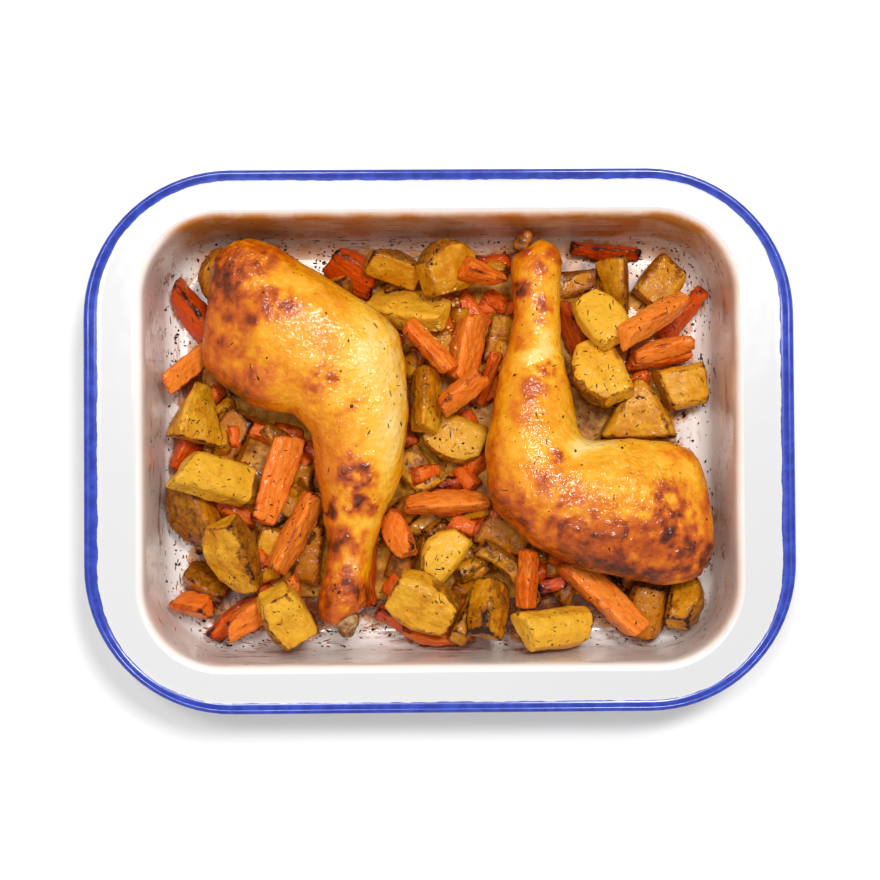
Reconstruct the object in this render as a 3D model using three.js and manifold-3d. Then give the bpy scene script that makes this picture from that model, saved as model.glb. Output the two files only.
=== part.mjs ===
// Roast chicken dinner: two chicken leg quarters on a heap of potato wedges and carrot
// batons, in the enamelled roasting dish that they were cooked in.
// Millimetres, +Z up. The origin is the middle of the dish's underside, +X runs along the
// dish's long side and +Y along its short side.
import * as THREE from "three";
import { ConvexGeometry } from "three/addons/geometries/ConvexGeometry.js";
import { mergeVertices } from "three/addons/utils/BufferGeometryUtils.js";
import Module from "manifold-3d";

const wasm = await Module();
wasm.setup();

// Driving dimensions of the dish.
const DISH = {
  length: 370, // over the rolled rim
  width: 283,
  height: 60,
  sheet: 1.6, // enamelled steel
  rimCorner: 77, // corner radius, seen from above
  mouthLength: 316, // inside edge of the flange
  mouthWidth: 240,
  mouthCorner: 45,
  bead: 2.5, // radius of the rolled rim
  draft: 4, // how far the walls lean in, mouth to floor
  floorFillet: 11,
  lipFillet: 3.5,
};
const CORNER_SEGMENTS = 8;

// The heap of food stands a little off the dish's centre.
const HEAP = { x: 0, y: 2, length: 262, width: 182, height: 7.5 };
const LEGS_UP = 2; // the legs' height over the one they are drawn at
const GAP = 0.3; // left between pieces that touch
const CELL = 1; // grid on which the vegetables settle
const SHIFTS = [-6, -4, -2, 0, 2, 4, 6];
const TILTS = [-28, -21, -14, -7, 0, 7, 14, 21, 28];
const SHIFT_COST = 1.7; // mm of height that a mm of sideways shift is worth
const TILT_COST = 0.12; // mm of height that a degree of tilt is worth

const COLOURS = {
  enamel: [0xf2f1ef, 0.22],
  skin: [0xd98a1e, 0.38],
  bone: [0xcdb48a, 0.6],
  potato: [0xd9a032, 0.5],
  carrot: [0xdf6a1f, 0.5],
};

function meshOf(name, geometry, colour) {
  const [color, roughness] = COLOURS[colour];
  const made = new THREE.Mesh(
    geometry,
    new THREE.MeshStandardMaterial({ color, roughness, metalness: 0 }),
  );
  made.name = name;
  return made;
}

// A closed geometry with one vertex at each place.
function welded(geometry) {
  const bare = new THREE.BufferGeometry();
  bare.setAttribute("position", geometry.getAttribute("position"));
  bare.setIndex(geometry.index);
  return mergeVertices(bare, 1e-3);
}

function solidOf(geometry) {
  const merged = welded(geometry);
  return new wasm.Manifold(
    new wasm.Mesh({
      numProp: 3,
      vertProperties: new Float32Array(merged.attributes.position.array),
      triVerts: new Uint32Array(merged.index.array),
    }),
  );
}

// The same solid without any sealed hollow inside it.
function filled(solid) {
  const outer = solid.decompose().filter((part) => part.volume() > 0);
  return outer.reduce((whole, part) => whole.add(part));
}

function geometryOf(solid) {
  const mesh = solid.getMesh();
  const geometry = new THREE.BufferGeometry();
  const places = new THREE.BufferAttribute(new Float32Array(mesh.vertProperties), 3);
  geometry.setAttribute("position", places);
  geometry.setIndex(new THREE.BufferAttribute(new Uint32Array(mesh.triVerts), 1));
  return geometry;
}

// ---------------------------------------------------------------- the dish

// Points on a quarter circle or less, as offsets from its centre.
function arc(radius, from, to, steps) {
  return Array.from({ length: steps + 1 }, (_, i) => {
    const a = THREE.MathUtils.degToRad(from + ((to - from) * i) / steps);
    return [radius * Math.cos(a), radius * Math.sin(a)];
  });
}

// The dish's section, from the middle of its underside out to the rim and back in to the
// middle of its floor. "out" is measured outwards from the flange's inside edge.
function dishProfile() {
  const d = DISH;
  const rim = (d.length - d.mouthLength) / 2 - d.bead;
  const flange = d.height - d.bead;
  const inWall = -d.lipFillet;
  const lean = (z) => inWall - d.draft * (1 - z / flange);
  const section = [];
  const add = (out, z) => section.push({ out, z });
  const outFillet = d.floorFillet + d.sheet;
  const underCorner = lean(0) + d.sheet - outFillet;
  arc(outFillet, -90, -8, 4).forEach(([x, z]) => add(underCorner + x, outFillet + z));
  add(inWall + d.sheet, flange - d.sheet - d.lipFillet);
  add(0 + d.sheet / 2, flange - d.sheet);
  arc(d.bead, 205, 500, 7).forEach(([x, z]) => add(rim + x, flange + z - d.bead * 0.4));
  add(0, flange);
  add(-d.lipFillet * 0.7, flange - d.lipFillet * 0.3);
  add(inWall, flange - d.lipFillet);
  const floorCorner = lean(0) - d.floorFillet;
  arc(d.floorFillet, -6, -90, 4).forEach(([x, z]) =>
    add(floorCorner + x, d.sheet + d.floorFillet + z),
  );
  return section;
}

// A rounded rectangle at a distance "out" from the mouth's edge. The flange is wider at
// the dish's ends than along its sides, so it spreads more along X.
function dishHalves(out) {
  const d = DISH;
  const full = (d.length - d.mouthLength) / 2;
  const spreadY = (d.width - d.mouthWidth) / 2 / full;
  const spreadR = (d.rimCorner - d.mouthCorner) / full;
  return {
    x: d.mouthLength / 2 + out,
    y: d.mouthWidth / 2 + (out > 0 ? out * spreadY : out),
    r: d.mouthCorner + (out > 0 ? out * spreadR : out),
  };
}

function dishGeometry() {
  const section = dishProfile();
  const first = section[0];
  const last = section[section.length - 1];
  const profile = [{ z: first.z, middle: true }, ...section, { z: last.z, middle: true }];
  const points = profile.map((p) => new THREE.Vector2(p.middle ? 0 : 1, p.z));
  const segments = 4 * CORNER_SEGMENTS;
  const lathe = new THREE.LatheGeometry(points, segments, Math.PI / segments);
  const place = lathe.getAttribute("position");
  const stride = profile.length;
  for (let i = 0; i < place.count; i++) {
    const p = profile[i % stride];
    if (p.middle) {
      place.setXYZ(i, 0, 0, p.z);
      continue;
    }
    const turn = ((Math.floor(i / stride) % segments) + 0.5) / CORNER_SEGMENTS;
    const quarter = Math.floor(turn);
    const along = ((turn - quarter) * CORNER_SEGMENTS - 0.5) / (CORNER_SEGMENTS - 1);
    const angle = ((quarter + along) * Math.PI) / 2;
    const h = dishHalves(p.out);
    const sx = quarter === 0 || quarter === 3 ? 1 : -1;
    const sy = quarter < 2 ? 1 : -1;
    const x = sx * (h.x - h.r) + h.r * Math.cos(angle);
    const y = sy * (h.y - h.r) + h.r * Math.sin(angle);
    place.setXYZ(i, x, y, p.z);
  }
  return welded(lathe);
}

// ---------------------------------------------------------------- the chicken

// A lobe is a ball of flesh: x, y, z, its radius seen from above and its half height.
function lobePoints([x, y, z, radius, rise]) {
  const ball = new THREE.SphereGeometry(1, 12, 7);
  ball.rotateX(Math.PI / 2);
  ball.scale(radius, radius, rise);
  ball.translate(x, y, z);
  const place = ball.getAttribute("position");
  return Array.from({ length: place.count }, (_, i) =>
    new THREE.Vector3().fromBufferAttribute(place, i),
  );
}

// Skin stretched over each group of lobes, with the groups joined.
function fleshOver(lobes, groups) {
  return groups
    .map((names) => new ConvexGeometry(names.flatMap((name) => lobePoints(lobes[name]))))
    .map(solidOf)
    .reduce((whole, part) => whole.add(part));
}

// Where the shank bone's end shows, the flesh is cut back round it.
function legAndKnuckle(side, lobes, groups, knuckle) {
  const bone = new ConvexGeometry(knuckle.flatMap(lobePoints));
  const room = knuckle.map(([x, y, z, r, h]) => [x, y, z, r + 2 * GAP, h + 2 * GAP]);
  const flesh = fleshOver(lobes, groups).subtract(
    solidOf(new ConvexGeometry(room.flatMap(lobePoints))),
  );
  return [
    meshOf(side + "_leg", geometryOf(flesh), "skin"),
    meshOf(side + "_knuckle", welded(bone), "bone"),
  ];
}

const leftLobes = {
  hipEnd: [-100, 86, 37, 21.5, 17],
  hipCorner: [-110, 45, 32, 17.5, 13],
  thighUnder: [-88, 40, 36, 27, 20],
  thigh: [-79, 60, 38, 33, 24],
  kneeTop: [-45, 42, 37, 28, 22],
  knee: [-42, 12, 36, 27, 21],
  calf: [-43, -14, 34, 24.5, 19],
  shin: [-46, -40, 31, 16.5, 14.5],
  ankle: [-48, -60, 29, 12.8, 12],
  heel: [-51, -83, 28, 14, 12.5],
  heelEnd: [-55, -91, 27, 11.5, 11],
};
const leftGroups = [
  ["hipEnd", "hipCorner", "thighUnder", "thigh", "kneeTop"],
  ["kneeTop", "knee", "thigh"],
  ["knee", "calf"],
  ["calf", "shin"],
  ["shin", "ankle"],
  ["ankle", "heel"],
  ["heel", "heelEnd"],
];
const leftKnuckle = [
  [-50, -98, 27, 6.5, 6],
  [-50, -103, 26, 4.5, 4.5],
];

const rightLobes = {
  hipCorner: [120, -23, 35, 21.5, 16],
  hipEnd: [122, -56, 36, 24.5, 18],
  thigh: [95, -39, 38, 37, 24],
  thighKnee: [64, -32, 38, 30, 23],
  kneeLow: [53, -24, 37, 29, 22],
  knee: [50, -6, 36, 26.5, 21],
  calf: [50, 22, 34, 21.5, 18],
  shin: [51, 47, 31, 14.5, 13.5],
  ankle: [53, 65, 30, 12.6, 12],
  heel: [52, 84, 29, 13.2, 12],
  heelEnd: [55, 95, 28, 11.3, 11],
  heelSide: [46, 93, 28, 7.5, 8],
};
const rightGroups = [
  ["hipCorner", "hipEnd", "thigh", "thighKnee"],
  ["thighKnee", "kneeLow", "knee"],
  ["knee", "calf"],
  ["calf", "shin"],
  ["shin", "ankle"],
  ["ankle", "heel"],
  ["heel", "heelEnd", "heelSide"],
];
const rightKnuckle = [
  [45, 103, 28, 5, 5],
  [48, 108.5, 29, 3, 3.5],
];

// ---------------------------------------------------------------- the vegetables

// Sections across a piece, from -0.5 to 0.5 wide and 0 to 1 high.
const SECTIONS = {
  block: () => [
    [0.5, 0.1], [0.5, 0.8], [0.38, 1], [-0.38, 1],
    [-0.5, 0.8], [-0.5, 0.1], [-0.4, 0], [0.4, 0],
  ],
  ridge: (k) => [
    [0.5, 0.12], [(0.5 + k) / 2 + 0.04, 0.6], [k + 0.05, 1], [k - 0.05, 1],
    [(k - 0.5) / 2 - 0.04, 0.6], [-0.5, 0.12], [-0.4, 0], [0.4, 0],
  ],
  dome: () => [
    [0.5, 0.15], [0.44, 0.62], [0.2, 0.96], [-0.2, 0.96],
    [-0.44, 0.62], [-0.5, 0.15], [-0.36, 0], [0.36, 0],
  ],
};

// One cut piece about its own middle, lying along X. "curve" rounds its left and right
// side, "taper" narrows it towards +X, "cuts" slants its two ends and "bow" bends it.
function pieceGeometry(piece) {
  const { length, width, height, section, ridge, curve, taper, cuts, bow, stations } = piece;
  const outline = SECTIONS[section](ridge);
  const sides = outline.length;
  const tube = new THREE.CylinderGeometry(1, 1, 1, sides, stations);
  const place = tube.getAttribute("position");
  for (let i = 0; i < place.count; i++) {
    const t = place.getY(i);
    const round = 4 * t * t;
    const middle = Math.hypot(place.getX(i), place.getZ(i)) < 0.5;
    const turn = Math.atan2(place.getX(i), place.getZ(i)) / (2 * Math.PI);
    const [across, up] = middle ? [0, 0.45] : outline[(Math.round(turn * sides) + sides) % sides];
    const side = 1 - 0.8 * round * (across > 0 ? curve[0] : curve[1]);
    const y = across * width * side * (1 - taper * t);
    const x = t * length + (t < 0 ? cuts[0] : cuts[1]) * y * round;
    const z = (up - 0.45) * height * (1 - 0.16 * round);
    place.setXYZ(i, x, y + bow * (1 - round) - bow / 2, z);
  }
  return welded(tube);
}

const PLAIN = {
  section: "block", ridge: 0, curve: [0, 0], taper: 0, cuts: [0, 0], bow: 0, stations: 4,
};
const potato = (x, y, yaw, length, width, height, more) => ({
  ...PLAIN, kind: "potato", x, y, yaw, length, width, height, ...more,
});
const carrot = (x, y, yaw, length, width, height, more) => ({
  ...PLAIN, section: "ridge", ridge: 0.12, curve: [0.15, 0.2], kind: "carrot",
  x, y, yaw, length, width, height, ...more,
});
const ridged = (ridge) => ({ section: "ridge", ridge });

// The pieces on top, in the order in which they settle.
const topPieces = [
  // along the left wall
  potato(-119, 88, 92, 31, 24, 14, { curve: [1, 0.1] }),
  carrot(-137, 72, -52, 43, 18, 14, { taper: -0.25, cuts: [-0.5, 0.3] }),
  carrot(-137, 42, 42, 33, 14, 11, { cuts: [0.3, 0.2] }),
  carrot(-137, -8, 62, 19, 14, 12, { taper: -0.3 }),
  potato(-134, -40, -60, 41, 28, 19, { curve: [0.2, 0.9], ...ridged(0.22) }),
  potato(-127, -77, -32, 26, 21, 17, { curve: [0.7, 0.4], ...ridged(-0.1) }),
  carrot(-136, -88, -10, 22, 15, 13, { cuts: [0.4, 0] }),
  potato(-133, 15, 78, 32, 24, 19, { taper: 1.2, curve: [0.3, 0.1], ...ridged(0.1) }),
  potato(-120, -21, -17, 40, 21, 18, { cuts: [0.5, 0.1] }),
  carrot(-118, -91, 38, 33, 12, 12, { bow: 2, cuts: [-0.4, 0] }),
  potato(-109, -63, -68, 41, 29, 20, { curve: [0.3, 0.6], taper: 0.25, ...ridged(0.1) }),
  carrot(-97, -86, 33, 45, 15, 14, { cuts: [0.5, 0.3] }),
  carrot(-93, -20, 73, 48, 19, 15, { taper: -0.35, cuts: [0, -0.3] }),
  carrot(-77, -51, 62, 46, 16, 15, { taper: -0.1 }),
  potato(-77, -88, -62, 31, 24, 19, { curve: [0.1, 0.4], taper: -0.2 }),
  // between the legs, from the far wall to the near one
  carrot(-46, 92, -32, 27, 22, 16, { cuts: [0.2, -0.3] }),
  potato(-18, 71, -12, 44, 26, 16, { curve: [0.3, 0.4], ...ridged(-0.3) }),
  potato(-23, 95, -18, 30, 22, 16, { curve: [0.9, 0], ...ridged(-0.1) }),
  potato(4, 92, 20, 31, 29, 17, { curve: [0.9, 0.1] }),
  carrot(28, 86, -15, 24, 13, 12, { taper: 0.35, cuts: [0, 0.4] }),
  potato(6, -3, -18, 33, 26, 14, { curve: [0.2, 0.7] }),
  potato(-7, 21, 87, 35, 18, 18, { curve: [0.1, 0.4], ...ridged(0) }),
  carrot(15, 48, 78, 36, 19, 17, { cuts: [0.4, -0.4] }),
  carrot(-8, 47, -48, 33, 13, 13, { cuts: [-0.3, 0.3] }),
  carrot(27, 32, 72, 30, 8, 10, { taper: -0.2 }),
  carrot(12, 24, 40, 29, 14, 13, { cuts: [0.3, -0.2] }),
  carrot(6, -36, 2, 46, 15, 15, { curve: [0.5, 0.4] }),
  carrot(-20, -45, -65, 27, 16, 14, { curve: [0.3, 0.5] }),
  potato(-1, -62, 52, 29, 22, 19, { curve: [0.9, 0.1] }),
  carrot(-31, -69, 88, 45, 8, 10, { bow: 2 }),
  carrot(-28, -94, -28, 27, 11, 10, {}),
  carrot(-2, -107, -6, 39, 10, 10, { bow: -5, taper: 0.3 }),
  potato(-9, -88, -28, 36, 29, 18, { curve: [0.4, 0.4], taper: 0.15 }),
  potato(9, -90, 62, 30, 10, 17, {}),
  potato(27, -91, 80, 31, 24, 15, { curve: [0.1, 0.2], ...ridged(0.15) }),
  potato(32, -69, -47, 45, 10, 14, { bow: 5 }),
  // under the right thigh
  carrot(47, -74, 86, 31, 13, 13, {}),
  potato(61, -100, 4, 39, 22, 18, { section: "dome", cuts: [-0.4, 0.2] }),
  potato(112, -95, 82, 29, 20, 16, { curve: [0.2, 0.3] }),
  potato(131, -92, 72, 29, 19, 16, { curve: [0.1, 0.7] }),
  carrot(86, -89, -44, 53, 19, 15, { cuts: [0.3, 0.3], taper: 0.1 }),
  // between the right shank and the far corner
  carrot(92, 102, -5, 39, 9, 9, { bow: -1 }),
  potato(97, 82, -80, 32, 15, 12, { taper: 0.8, ...ridged(0.2) }),
  potato(118, 84, 48, 27, 22, 13, { curve: [0.1, 0.5], taper: -0.2 }),
  potato(87, 62, -55, 31, 24, 14, { curve: [0.5, 0.3] }),
  carrot(134, 66, 52, 36, 11, 8, { taper: 0.3 }),
  carrot(116, 36, 9, 35, 13, 9, { cuts: [0.4, 0] }),
  carrot(121, 47, 14, 33, 11, 9, { curve: [0.4, 0.2] }),
  carrot(114, 61, 31, 47, 15, 12, { taper: 0.15, cuts: [0.2, 0.5] }),
];

// The smaller and lower pieces, which are joined with the heap's core.
const lowPieces = [
  potato(-114, 1, 60, 30, 20, 13, { curve: [0.3, 0.3] }),
  carrot(-99, 5, -18, 23, 12, 12, {}),
  carrot(-82, 3, -10, 17, 11, 9, {}),
  potato(-80, -27, 75, 32, 19, 11, { curve: [0.6, 0.4] }),
  potato(-93, -43, 30, 18, 13, 12, { curve: [0.5, 0.5] }),
  potato(-92, -60, 78, 26, 19, 14, { curve: [0.7, 0.2] }),
  carrot(-111, -39, -32, 27, 12, 11, { taper: -0.2 }),
  potato(-71, -62, 80, 32, 15, 11, { curve: [0.4, 0.2] }),
  potato(-126, -53, 20, 18, 14, 10, {}),
  carrot(31, 95, 10, 18, 13, 10, {}),
  carrot(32, 72, -8, 21, 11, 10, {}),
  potato(33, 55, 78, 27, 15, 11, { curve: [0.3, 0.2] }),
  carrot(19, 68, -48, 24, 13, 11, {}),
  potato(3, 52, -75, 32, 14, 11, {}),
  potato(-13, 40, 70, 19, 12, 9, {}),
  potato(-12, -18, -52, 26, 19, 13, { taper: -0.4, cuts: [0.3, 0] }),
  carrot(2, -25, 8, 29, 10, 9, {}),
  carrot(26, -46, 45, 22, 12, 12, {}),
  potato(-15, -37, 40, 22, 14, 9, { curve: [0.4, 0.4] }),
  carrot(13, -48, -20, 17, 13, 11, {}),
  potato(35, -53, -20, 28, 20, 11, { curve: [0.6, 0.6] }),
  potato(-20, -64, 75, 28, 16, 9, { curve: [0.4, 0.2] }),
  potato(17, -68, -40, 21, 14, 10, {}),
  carrot(61, -81, 10, 17, 13, 10, {}),
  potato(90, -80, -35, 24, 15, 9, { curve: [0.4, 0.2] }),
  potato(75, 84, 6, 24, 15, 8, { curve: [0.5, 0.1] }),
  potato(97, 40, 70, 22, 13, 10, {}),
];
const rightWallPieces = [
  carrot(73, 59, -70, 32, 13, 11, { cuts: [0.3, 0] }),
  potato(108, 15, 90, 32, 26, 22, { taper: 1.5, curve: [0.1, 0.1] }),
  potato(83, 31, -65, 35, 28, 17, { curve: [0.1, 0.8] }),
  potato(133, 27, 12, 24, 23, 19, { cuts: [-0.2, 0.1] }),
];

// ---------------------------------------------------------------- settling

const GRID = { x: 190, y: 146 };
const COLUMNS = (2 * GRID.x) / CELL;
const ROWS = (2 * GRID.y) / CELL;
const column = (x) => Math.floor((x + GRID.x) / CELL);
const row = (y) => Math.floor((y + GRID.y) / CELL);

// The lowest and highest point of a geometry over each grid cell near it, spread by one
// cell so that no point between two samples is missed.
function reliefOf(geometry, spread) {
  const place = geometry.getAttribute("position");
  const index = geometry.index.array;
  const box = new THREE.Box3().setFromBufferAttribute(place);
  const c0 = column(box.min.x) - 2;
  const r0 = row(box.min.y) - 2;
  const wide = column(box.max.x) + 3 - c0;
  const deep = row(box.max.y) + 3 - r0;
  const low = new Float32Array(wide * deep).fill(Infinity);
  const high = new Float32Array(wide * deep).fill(-Infinity);
  const p = [0, 1, 2].map(() => new THREE.Vector3());
  for (let i = 0; i < index.length; i += 3) {
    p.forEach((v, k) => v.fromBufferAttribute(place, index[i + k]));
    const [a, b, c] = p;
    const area = (b.x - a.x) * (c.y - a.y) - (c.x - a.x) * (b.y - a.y);
    if (Math.abs(area) < 1e-6) continue;
    const cells = [
      column(Math.min(a.x, b.x, c.x)), column(Math.max(a.x, b.x, c.x)),
      row(Math.min(a.y, b.y, c.y)), row(Math.max(a.y, b.y, c.y)),
    ];
    for (let r = cells[2]; r <= cells[3]; r++)
      for (let q = cells[0]; q <= cells[1]; q++) {
        const x = (q + 0.5) * CELL - GRID.x;
        const y = (r + 0.5) * CELL - GRID.y;
        const u = ((b.x - x) * (c.y - y) - (c.x - x) * (b.y - y)) / area;
        const v = ((c.x - x) * (a.y - y) - (a.x - x) * (c.y - y)) / area;
        if (u < -0.02 || v < -0.02 || u + v > 1.02) continue;
        const z = u * a.z + v * b.z + (1 - u - v) * c.z;
        const k = (r - r0) * wide + (q - c0);
        if (z < low[k]) low[k] = z;
        if (z > high[k]) high[k] = z;
      }
  }
  return spread ? spreadRelief({ c0, r0, wide, deep, low, high }) : { c0, r0, wide, deep, low, high };
}

function spreadRelief(relief) {
  const { wide, deep } = relief;
  const low = new Float32Array(relief.low);
  const high = new Float32Array(relief.high);
  for (let r = 1; r < deep - 1; r++)
    for (let q = 1; q < wide - 1; q++)
      for (const step of [-wide - 1, -wide, 1 - wide, -1, 1, wide - 1, wide, wide + 1]) {
        const k = r * wide + q;
        low[k] = Math.min(low[k], relief.low[k + step]);
        high[k] = Math.max(high[k], relief.high[k + step]);
      }
  return { ...relief, low, high };
}

// What the next piece can rest on, and what it has to stay under.
const ground = new Float32Array(COLUMNS * ROWS).fill(0);
const ceiling = new Float32Array(COLUMNS * ROWS).fill(Infinity);

function eachCell(relief, shiftX, shiftY, visit) {
  for (let r = 0; r < relief.deep; r++)
    for (let q = 0; q < relief.wide; q++) {
      const k = r * relief.wide + q;
      if (relief.high[k] === -Infinity) continue;
      visit(k, (relief.r0 + r + shiftY) * COLUMNS + relief.c0 + q + shiftX);
    }
}

const raiseGround = (relief, lift = 0) =>
  eachCell(relief, 0, 0, (k, g) => {
    ground[g] = Math.max(ground[g], relief.high[k] + lift);
  });
const lowerCeiling = (relief) =>
  eachCell(relief, 0, 0, (k, g) => {
    ceiling[g] = Math.min(ceiling[g], relief.low[k]);
  });

// How high a piece comes to rest there, or Infinity where it would touch what is over it.
function restHeight(relief, shiftX, shiftY) {
  let lift = -Infinity;
  eachCell(relief, shiftX, shiftY, (k, g) => {
    lift = Math.max(lift, ground[g] - relief.low[k]);
  });
  let clear = true;
  eachCell(relief, shiftX, shiftY, (k, g) => {
    if (relief.high[k] + lift + GAP > ceiling[g]) clear = false;
  });
  return clear ? lift + GAP : Infinity;
}

function turned(piece, roll, pitch) {
  const rad = THREE.MathUtils.degToRad;
  const geometry = pieceGeometry(piece);
  geometry.rotateX(rad(roll));
  geometry.rotateY(rad(pitch));
  geometry.rotateZ(rad(piece.yaw));
  geometry.translate(piece.x + HEAP.x, piece.y + HEAP.y, 0);
  return geometry;
}

// Lets a piece down where it lies lowest for the least shift and tilt.
function settled(piece, shifts = SHIFTS, tilts = TILTS) {
  let best = { cost: Infinity };
  for (const roll of tilts)
    for (const pitch of tilts) {
      const geometry = turned(piece, roll, pitch);
      const relief = reliefOf(geometry, true);
      for (const dx of shifts)
        for (const dy of shifts) {
          const lift = restHeight(relief, dx / CELL, dy / CELL);
          const tilt = Math.hypot(roll, pitch);
          const cost = lift + SHIFT_COST * Math.hypot(dx, dy) + TILT_COST * tilt;
          if (cost < best.cost) best = { cost, geometry, dx, dy, lift };
        }
    }
  if (best.cost === Infinity) return null;
  best.geometry.translate(best.dx, best.dy, best.lift);
  return best.geometry;
}

// ---------------------------------------------------------------- the heap's core

// An uneven low mound on the dish's floor: a flattened ball with an oblong outline.
function coreGeometry() {
  const ball = new THREE.SphereGeometry(1, 28, 9);
  ball.rotateX(Math.PI / 2);
  const place = ball.getAttribute("position");
  const foot = DISH.sheet + GAP;
  for (let i = 0; i < place.count; i++) {
    const reach = Math.hypot(place.getX(i), place.getY(i));
    const angle = Math.atan2(place.getY(i), place.getX(i));
    const oblong = Math.pow(Math.cos(angle) ** 6 + Math.sin(angle) ** 6, -1 / 6);
    const spread = Math.pow(reach, 0.8) * oblong * (1 + 0.02 * Math.sin(7 * angle));
    const x = (spread * HEAP.length) / 2;
    const y = (spread * HEAP.width) / 2;
    const top = place.getZ(i) > 0 ? Math.pow(place.getZ(i), 0.35) : 0;
    const lumps = 1 + 0.14 * Math.sin(x * 1.3 * Math.cos(angle) * 0.12) * Math.cos(y * 0.11);
    place.setXYZ(
      i,
      HEAP.x + x * Math.cos(angle),
      HEAP.y + y * Math.sin(angle),
      foot + HEAP.height * top * lumps,
    );
  }
  return welded(ball);
}

// ---------------------------------------------------------------- the whole

const dinner = new THREE.Group();
const dish = dishGeometry();
dinner.add(meshOf("dish", dish, "enamel"));
raiseGround(reliefOf(dish, true));

const legs = [
  ...legAndKnuckle("left", leftLobes, leftGroups, leftKnuckle),
  ...legAndKnuckle("right", rightLobes, rightGroups, rightKnuckle),
];
for (const mesh of legs) {
  mesh.geometry.translate(HEAP.x, HEAP.y, LEGS_UP);
  dinner.add(mesh);
  lowerCeiling(reliefOf(mesh.geometry, true));
}

// The lower pieces sink a little into the core, so that the heap is one solid.
const SINK = 3;
const core = coreGeometry();
raiseGround(reliefOf(core, false), -SINK);
const lows = lowPieces
  .map((piece) => settled({ ...piece, stations: 2 }, [0], [0]))
  .filter(Boolean);
const heap = filled([core, ...lows].map(solidOf).reduce((whole, part) => whole.add(part)));
dinner.add(meshOf("vegetable_heap", geometryOf(heap), "potato"));
raiseGround(reliefOf(geometryOf(heap), true));

const counts = { potato: 0, carrot: 0 };
for (const piece of [...rightWallPieces, ...topPieces]) {
  const geometry = settled(piece);
  const number = String((counts[piece.kind] += 1)).padStart(2, "0");
  if (!geometry) {
    console.warn(piece.kind, number, "has no room at", piece.x, piece.y);
    continue;
  }
  dinner.add(meshOf(piece.kind + "_" + number, geometry, piece.kind));
  raiseGround(reliefOf(geometry, false));
}

export default dinner;
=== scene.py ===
"""Looks of the roast chicken dinner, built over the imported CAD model."""

import math

import bmesh
import bpy
import numpy as np
from mathutils import Matrix, Vector
from mathutils.bvhtree import BVHTree


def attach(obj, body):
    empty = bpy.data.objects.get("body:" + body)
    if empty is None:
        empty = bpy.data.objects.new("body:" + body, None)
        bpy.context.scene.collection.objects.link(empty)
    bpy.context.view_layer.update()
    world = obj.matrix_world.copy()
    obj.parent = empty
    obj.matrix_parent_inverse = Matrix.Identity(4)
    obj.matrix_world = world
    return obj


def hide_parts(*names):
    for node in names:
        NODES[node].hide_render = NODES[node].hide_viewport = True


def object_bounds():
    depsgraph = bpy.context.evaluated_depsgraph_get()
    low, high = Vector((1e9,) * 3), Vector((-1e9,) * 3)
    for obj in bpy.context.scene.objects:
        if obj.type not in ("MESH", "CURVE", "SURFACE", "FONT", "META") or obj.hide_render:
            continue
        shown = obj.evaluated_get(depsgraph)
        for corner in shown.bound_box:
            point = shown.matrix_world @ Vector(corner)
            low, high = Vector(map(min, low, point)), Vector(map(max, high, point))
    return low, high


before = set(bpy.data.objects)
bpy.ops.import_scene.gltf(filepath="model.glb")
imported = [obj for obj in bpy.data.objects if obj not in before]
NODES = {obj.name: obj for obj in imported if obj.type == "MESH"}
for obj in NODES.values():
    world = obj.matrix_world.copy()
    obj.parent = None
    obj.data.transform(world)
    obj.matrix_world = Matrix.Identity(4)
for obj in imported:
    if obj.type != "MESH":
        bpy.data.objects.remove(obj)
cad_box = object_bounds()
MM = 0.001
rng = np.random.default_rng(7)


# ------------------------------------------------------------------ meshes


def node_arrays(node):
    """A CAD node's welded vertices in mm and its triangles."""
    bm = bmesh.new()
    bm.from_mesh(NODES[node].data)
    bmesh.ops.remove_doubles(bm, verts=bm.verts, dist=2e-5)
    bmesh.ops.triangulate(bm, faces=bm.faces)
    bm.verts.index_update()
    verts = np.array([v.co[:] for v in bm.verts]) / MM
    faces = [[v.index for v in f.verts] for f in bm.faces]
    bm.free()
    return verts, faces


def mesh_object(name, verts, faces, material=None, smooth=True):
    """A new object from vertices in mm."""
    mesh = bpy.data.meshes.new(name)
    mesh.from_pydata((np.asarray(verts) * MM).tolist(), [], faces)
    mesh.update()
    if smooth:
        mesh.shade_smooth()
    else:
        mesh.shade_flat()
    made = bpy.data.objects.new(name, mesh)
    bpy.context.scene.collection.objects.link(made)
    if material:
        mesh.materials.append(material)
    return made


def coords(obj):
    out = np.empty(len(obj.data.vertices) * 3)
    obj.data.vertices.foreach_get("co", out)
    return out.reshape(-1, 3) / MM


def set_coords(obj, verts):
    obj.data.vertices.foreach_set("co", (verts * MM).ravel())
    obj.data.update()


def normals(obj):
    out = np.empty(len(obj.data.vertices) * 3)
    obj.data.vertex_normals.foreach_get("vector", out)
    return out.reshape(-1, 3)


def edges(obj):
    out = np.empty(len(obj.data.edges) * 2, int)
    obj.data.edges.foreach_get("vertices", out)
    return out.reshape(-1, 2)


def attribute(obj, name, values):
    """Stores a number for each vertex, for the materials to read."""
    made = obj.data.attributes.new(name, "FLOAT", "POINT")
    made.data.foreach_set("value", np.asarray(values, np.float32))


def neighbour_mean(values, links):
    """Each vertex's mean over its neighbours."""
    total = np.zeros_like(values)
    count = np.zeros(len(values))
    for a, b in (links.T, links.T[::-1]):
        np.add.at(total, a, values[b])
        np.add.at(count, a, 1)
    count = np.maximum(count, 1)
    return total / (count[:, None] if values.ndim > 1 else count)


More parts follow.
